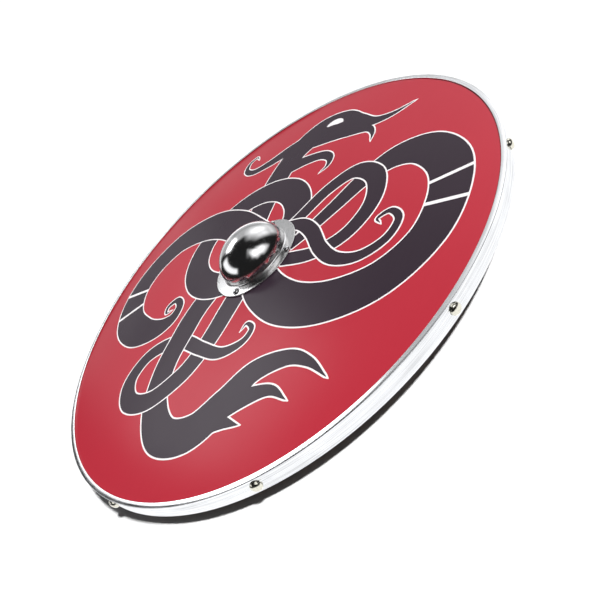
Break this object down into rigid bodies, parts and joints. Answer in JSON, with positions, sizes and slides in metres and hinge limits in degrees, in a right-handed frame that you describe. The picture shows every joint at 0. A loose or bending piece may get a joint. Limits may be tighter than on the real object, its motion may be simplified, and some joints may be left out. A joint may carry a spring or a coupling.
{
  "type": "wooden round shield",
  "caption": "Flat round wooden shield with a painted face, a metal channel rim with domed studs, a domed steel boss over a hand hole, and a wooden grip across the back.",
  "frame": {"origin": "on the surface that the shield lies on, under the middle of the grip, on the axis of the boss", "axes": "+Z along the boss axis, out of the painted face; +Y towards the head of the painted serpent, the top of the picture; +X along the grip, to the right of the picture"},
  "size_m": [0.6135, 0.612, 0.0703],
  "materials": {
    "painted_board": "flat wooden board, front painted satin red with a charcoal knotwork serpent outlined in white, back stained dark brown",
    "charcoal_paint": "satin charcoal paint on the board: the serpent of the picture",
    "white_paint": "satin white paint on the board: the outlines, stripes and eye of the picture",
    "polished_rim": "polished channel with fine drawn lines along it",
    "stud_metal": "nickel plated, bright",
    "polished_steel": "mirror polished with faint spinning marks",
    "rivet_steel": "polished",
    "dark_wood": "dark brown stained hardwood, satin"
  },
  "bodies": {
    "root": {"board": "painted_board", "rim": "polished_rim", "rim_stud_1": "stud_metal", "rim_stud_2": "stud_metal", "rim_stud_3": "stud_metal", "rim_stud_4": "stud_metal", "rim_stud_5": "stud_metal", "rim_stud_6": "stud_metal", "rim_stud_7": "stud_metal", "rim_stud_8": "stud_metal", "rim_stud_9": "stud_metal", "boss": "polished_steel", "boss_rivet_1": "rivet_steel", "boss_rivet_2": "rivet_steel", "boss_rivet_3": "rivet_steel", "boss_rivet_4": "rivet_steel", "grip": "dark_wood"}
  },
  "joints": []
}
